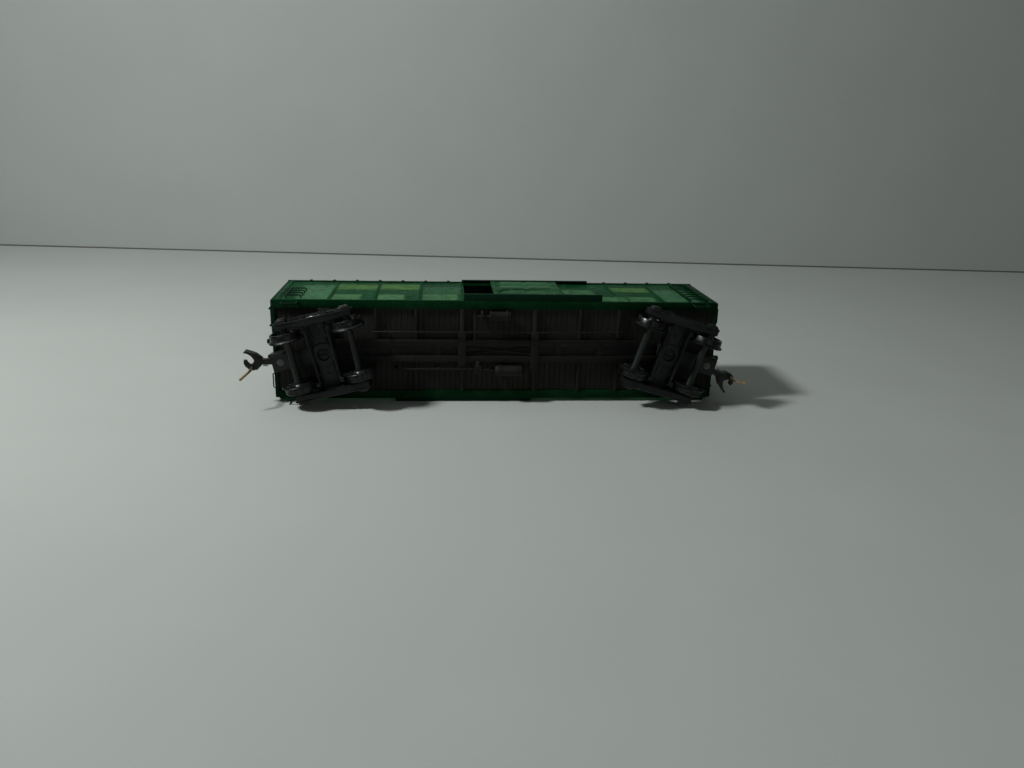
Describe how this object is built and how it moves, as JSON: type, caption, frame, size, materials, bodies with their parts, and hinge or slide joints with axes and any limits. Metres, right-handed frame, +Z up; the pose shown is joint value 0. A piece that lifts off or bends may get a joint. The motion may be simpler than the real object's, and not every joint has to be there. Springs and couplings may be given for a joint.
{
  "type": "model box car",
  "caption": "Scale model steel box car with sliding doors, swivelling trucks that carry knuckle couplers, and a detailed underframe.",
  "frame": {"origin": "on the plane of the rail tops, under the middle of the car", "axes": "+X along the car towards its brake end, +Y towards its left side, +Z up from the rails"},
  "size_m": [0.1643, 0.0365, 0.0492],
  "materials": {
    "body_mint": "satin",
    "dark_green": "satin",
    "underframe_brown": "matte",
    "truck_black": "satin",
    "blackened_steel": "satin",
    "bright_steel": "satin",
    "bronze_wire": "satin",
    "coupler_black": "satin"
  },
  "bodies": {
    "car_body": {"side_wall_right": "body_mint", "side_wall_left": "body_mint", "end_wall_a": "dark_green", "end_wall_b": "dark_green", "roof": "dark_green", "running_board": "dark_green", "car_floor": "underframe_brown", "centre_sill": "underframe_brown", "crossbearers": "underframe_brown", "body_bolster_a": "underframe_brown", "body_bolster_b": "underframe_brown", "steel_weight": "blackened_steel", "door_tracks_right": "dark_green", "door_tracks_left": "dark_green", "side_ladders": "dark_green", "end_ladders": "dark_green", "grab_irons": "dark_green", "stirrup_steps": "dark_green", "brake_cylinder": "underframe_brown", "air_reservoir": "underframe_brown", "control_valve": "underframe_brown", "air_pipes": "underframe_brown", "brake_rods": "underframe_brown", "brake_housing": "dark_green", "brake_step": "dark_green", "truck_screws": "blackened_steel"},
    "right_door": {"door_right": "body_mint"},
    "left_door": {"door_left": "body_mint"},
    "brake_wheel": {"brake_wheel": "dark_green"},
    "truck_a": {"truck_bolster_a": "truck_black", "side_frame_a_near": "truck_black", "side_frame_a_far": "truck_black", "truck_springs_a": "bright_steel", "brake_beams_a": "truck_black", "coupler_box_a": "truck_black", "coupler_cover_a": "truck_black"},
    "wheelset_a_outer": {"axle_a_outer": "blackened_steel", "wheels_a_outer": "truck_black"},
    "wheelset_a_inner": {"axle_a_inner": "blackened_steel", "wheels_a_inner": "truck_black"},
    "coupler_a": {"coupler_a": "coupler_black", "knuckle_spring_a": "bright_steel"},
    "knuckle_a": {"knuckle_a": "coupler_black", "trip_pin_a": "bronze_wire"},
    "truck_b": {"truck_bolster_b": "truck_black", "side_frame_b_near": "truck_black", "side_frame_b_far": "truck_black", "truck_springs_b": "bright_steel", "brake_beams_b": "truck_black", "coupler_box_b": "truck_black", "coupler_cover_b": "truck_black"},
    "wheelset_b_outer": {"axle_b_outer": "blackened_steel", "wheels_b_outer": "truck_black"},
    "wheelset_b_inner": {"axle_b_inner": "blackened_steel", "wheels_b_inner": "truck_black"},
    "coupler_b": {"coupler_b": "coupler_black", "knuckle_spring_b": "bright_steel"},
    "knuckle_b": {"knuckle_b": "coupler_black", "trip_pin_b": "bronze_wire"}
  },
  "joints": [
    {"name": "right_door_slide", "type": "slide", "parent": "car_body", "child": "right_door", "axis": [1, 0, 0], "range_m": [-0.0106, 0.0106]},
    {"name": "left_door_slide", "type": "slide", "parent": "car_body", "child": "left_door", "axis": [-1, 0, 0], "range_m": [0, 0.0212]},
    {"name": "brake_wheel_spin", "type": "hinge", "parent": "car_body", "child": "brake_wheel", "pos_m": [0.0756, -0.005, 0.0364], "axis": [1, 0, 0], "continuous": true},
    {"name": "truck_a_swivel", "type": "hinge", "parent": "car_body", "child": "truck_a", "pos_m": [-0.0562, 0, 0.0092], "axis": [0, 0, 1], "range_deg": [-9, 35]},
    {"name": "wheelset_a_outer_spin", "type": "hinge", "parent": "truck_a", "child": "wheelset_a_outer", "pos_m": [-0.06585, 0.00223, 0.00481], "axis": [-0.225, -0.9744, 0], "continuous": true},
    {"name": "wheelset_a_inner_spin", "type": "hinge", "parent": "truck_a", "child": "wheelset_a_inner", "pos_m": [-0.04655, -0.00223, 0.00481], "axis": [-0.225, -0.9744, 0], "continuous": true},
    {"name": "coupler_a_swing", "type": "hinge", "parent": "truck_a", "child": "coupler_a", "pos_m": [-0.07023, 0.00324, 0.00945], "axis": [0, 0, 1], "range_deg": [-34, 10]},
    {"name": "knuckle_a_swing", "type": "hinge", "parent": "coupler_a", "child": "knuckle_a", "pos_m": [-0.0794, 0.0052, 0.0098], "axis": [0, 0, 1], "range_deg": [-30, 0], "stiffness_Nm_per_rad": 0.0002},
    {"name": "truck_b_swivel", "type": "hinge", "parent": "car_body", "child": "truck_b", "pos_m": [0.0562, 0, 0.0092], "axis": [0, 0, 1], "range_deg": [-39, 5]},
    {"name": "wheelset_b_outer_spin", "type": "hinge", "parent": "truck_b", "child": "wheelset_b_outer", "pos_m": [0.06567, 0.00289, 0.00481], "axis": [-0.2924, 0.9563, 0], "continuous": true},
    {"name": "wheelset_b_inner_spin", "type": "hinge", "parent": "truck_b", "child": "wheelset_b_inner", "pos_m": [0.04673, -0.00289, 0.00481], "axis": [-0.2924, 0.9563, 0], "continuous": true},
    {"name": "coupler_b_swing", "type": "hinge", "parent": "truck_b", "child": "coupler_b", "pos_m": [0.06997, 0.00421, 0.00945], "axis": [0, 0, 1], "range_deg": [-41, 3]},
    {"name": "knuckle_b_swing", "type": "hinge", "parent": "coupler_b", "child": "knuckle_b", "pos_m": [0.07847, 0.00816, 0.0098], "axis": [0, 0, 1], "range_deg": [-30, 0], "stiffness_Nm_per_rad": 0.0002}
  ]
}
